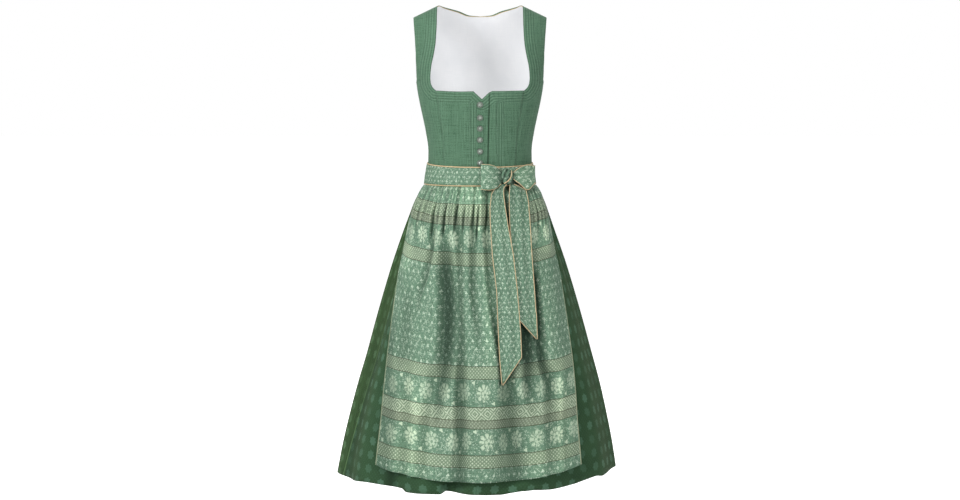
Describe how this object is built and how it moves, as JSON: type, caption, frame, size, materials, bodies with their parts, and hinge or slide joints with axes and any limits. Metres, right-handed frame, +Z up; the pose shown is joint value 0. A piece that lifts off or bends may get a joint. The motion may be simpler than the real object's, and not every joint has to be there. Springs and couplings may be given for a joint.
{
  "type": "dirndl dress",
  "caption": "Sleeveless dirndl dress with a square neck, buttoned bodice, gathered midi skirt and a patterned apron tied in a bow at the front",
  "frame": {"origin": "on the middle plane, level with the neck points of the shoulders and halfway between the front and back at the shoulder seams", "axes": "+Z up along the worn garment, the front faces -Y, +X is the wearer's left"},
  "size_m": [0.6671, 0.5769, 1.1053],
  "materials": {
    "bodice_linen": "mid-green slubbed linen, matt, with fine lengthwise ribs and topstitched rows",
    "lining_cotton": "plain white cotton lining, matt",
    "skirt_cotton": "dark green cotton satin with small tone-on-tone sprigs",
    "apron_jacquard": "soft green jacquard with pale woven sprigs, flowers and striped borders, slight sheen",
    "piping_satin": "golden satin piping cord",
    "button_metal": "aged silver-coloured cast metal with a raised rosette"
  },
  "bodies": {
    "root": {"bodice_front_right": "bodice_linen", "bodice_front_left": "bodice_linen", "bodice_side_front_right": "bodice_linen", "bodice_side_front_left": "bodice_linen", "bodice_side_back_right": "bodice_linen", "bodice_side_back_left": "bodice_linen", "bodice_back": "bodice_linen", "lining_back": "lining_cotton", "skirt_front_right": "skirt_cotton", "skirt_front_left": "skirt_cotton", "skirt_side_left": "skirt_cotton", "skirt_centre_back": "skirt_cotton", "skirt_side_right": "skirt_cotton", "apron": "apron_jacquard", "apron_band": "apron_jacquard", "band_piping_top": "piping_satin", "band_piping_bottom": "piping_satin", "bow_loop_right": "apron_jacquard", "bow_loop_left": "apron_jacquard", "bow_knot": "apron_jacquard", "bow_tail_long": "apron_jacquard", "bow_tail_short": "apron_jacquard", "button_1": "button_metal", "button_2": "button_metal", "button_3": "button_metal", "button_4": "button_metal", "button_5": "button_metal", "button_6": "button_metal"}
  },
  "joints": []
}
